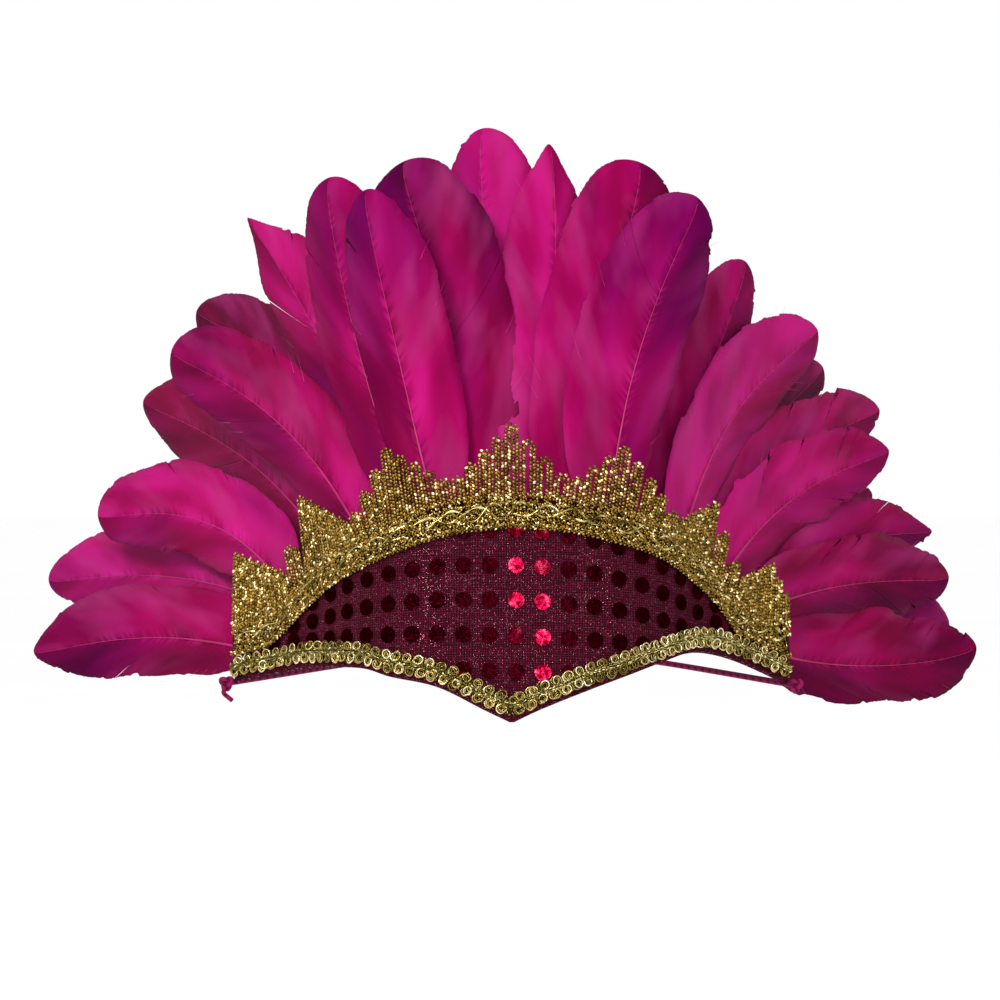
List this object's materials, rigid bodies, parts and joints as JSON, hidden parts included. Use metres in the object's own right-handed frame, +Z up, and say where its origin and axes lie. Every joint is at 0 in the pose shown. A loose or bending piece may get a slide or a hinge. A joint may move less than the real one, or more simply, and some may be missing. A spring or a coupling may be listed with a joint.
{
  "type": "carnival feather headdress",
  "caption": "Fan of dyed feathers behind a sequinned front plate bent round the forehead, with gold lace, a gold hem braid and a cord elastic round the back of the head.",
  "frame": {"origin": "middle of the wearer's head at brow level, level with the lower corners of the front plate", "axes": "+Z up, the wearer faces -Y, +X to the right of a viewer who faces the wearer"},
  "size_m": [0.4259, 0.1956, 0.2469],
  "materials": {
    "maroon_cloth": "satin",
    "gold_lace": "metallic",
    "gold_braid": "metallic",
    "magenta_cord": "matte",
    "magenta_feather": "satin"
  },
  "bodies": {
    "root": {"front_plate": "maroon_cloth", "crown_lace": "gold_lace", "hem_braid": "gold_braid", "back_elastic": "magenta_cord", "feather_01": "magenta_feather", "feather_02": "magenta_feather", "feather_03": "magenta_feather", "feather_04": "magenta_feather", "feather_05": "magenta_feather", "feather_06": "magenta_feather", "feather_07": "magenta_feather", "feather_08": "magenta_feather", "feather_09": "magenta_feather", "feather_10": "magenta_feather", "feather_11": "magenta_feather", "feather_12": "magenta_feather", "feather_13": "magenta_feather", "feather_14": "magenta_feather", "feather_15": "magenta_feather", "feather_16": "magenta_feather", "feather_17": "magenta_feather", "feather_18": "magenta_feather", "feather_19": "magenta_feather", "feather_20": "magenta_feather", "feather_21": "magenta_feather", "feather_22": "magenta_feather", "feather_23": "magenta_feather", "feather_24": "magenta_feather", "feather_25": "magenta_feather", "feather_26": "magenta_feather", "feather_27": "magenta_feather", "feather_28": "magenta_feather", "feather_29": "magenta_feather", "feather_30": "magenta_feather", "feather_31": "magenta_feather", "feather_32": "magenta_feather"}
  },
  "joints": []
}
